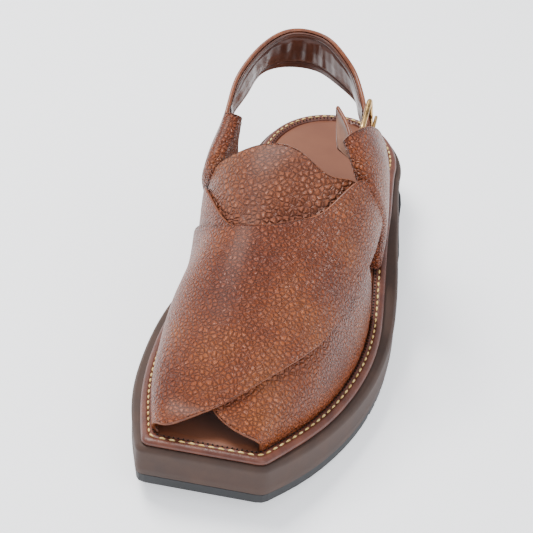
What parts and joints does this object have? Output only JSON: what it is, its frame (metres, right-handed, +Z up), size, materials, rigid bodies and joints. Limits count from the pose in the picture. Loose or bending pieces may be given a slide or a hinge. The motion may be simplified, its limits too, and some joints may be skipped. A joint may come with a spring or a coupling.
{
  "type": "peshawari chappal",
  "caption": "Left peshawari chappal: crossed leather panels over a scalloped tongue, folded side quarters and a buckled heel strap on a thick layered sole.",
  "frame": {"origin": "on the ground, under the middle of the shoe's box", "axes": "+Z up, -Y towards the toe, +X towards the lateral side of the left foot"},
  "size_m": [0.1104, 0.289, 0.1235],
  "materials": {
    "grain_leather": "pebbled full-grain cowhide, satin with glossy highlights",
    "smooth_leather": "smooth satin leather",
    "rim_leather": "dark smooth leather, wrapped and stitched",
    "brown_rubber": "matt moulded foam rubber",
    "black_rubber": "matt black rubber",
    "antique_brass": "antique brass, worn bright on its edges"
  },
  "bodies": {
    "root": {"outsole": "black_rubber", "heel_block": "black_rubber", "midsole": "brown_rubber", "rim": "rim_leather", "insole": "smooth_leather", "upper": "grain_leather", "tongue": "grain_leather", "back_strap": "grain_leather", "buckle_strap": "grain_leather", "buckle_frame": "antique_brass", "buckle_prong": "antique_brass"}
  },
  "joints": []
}
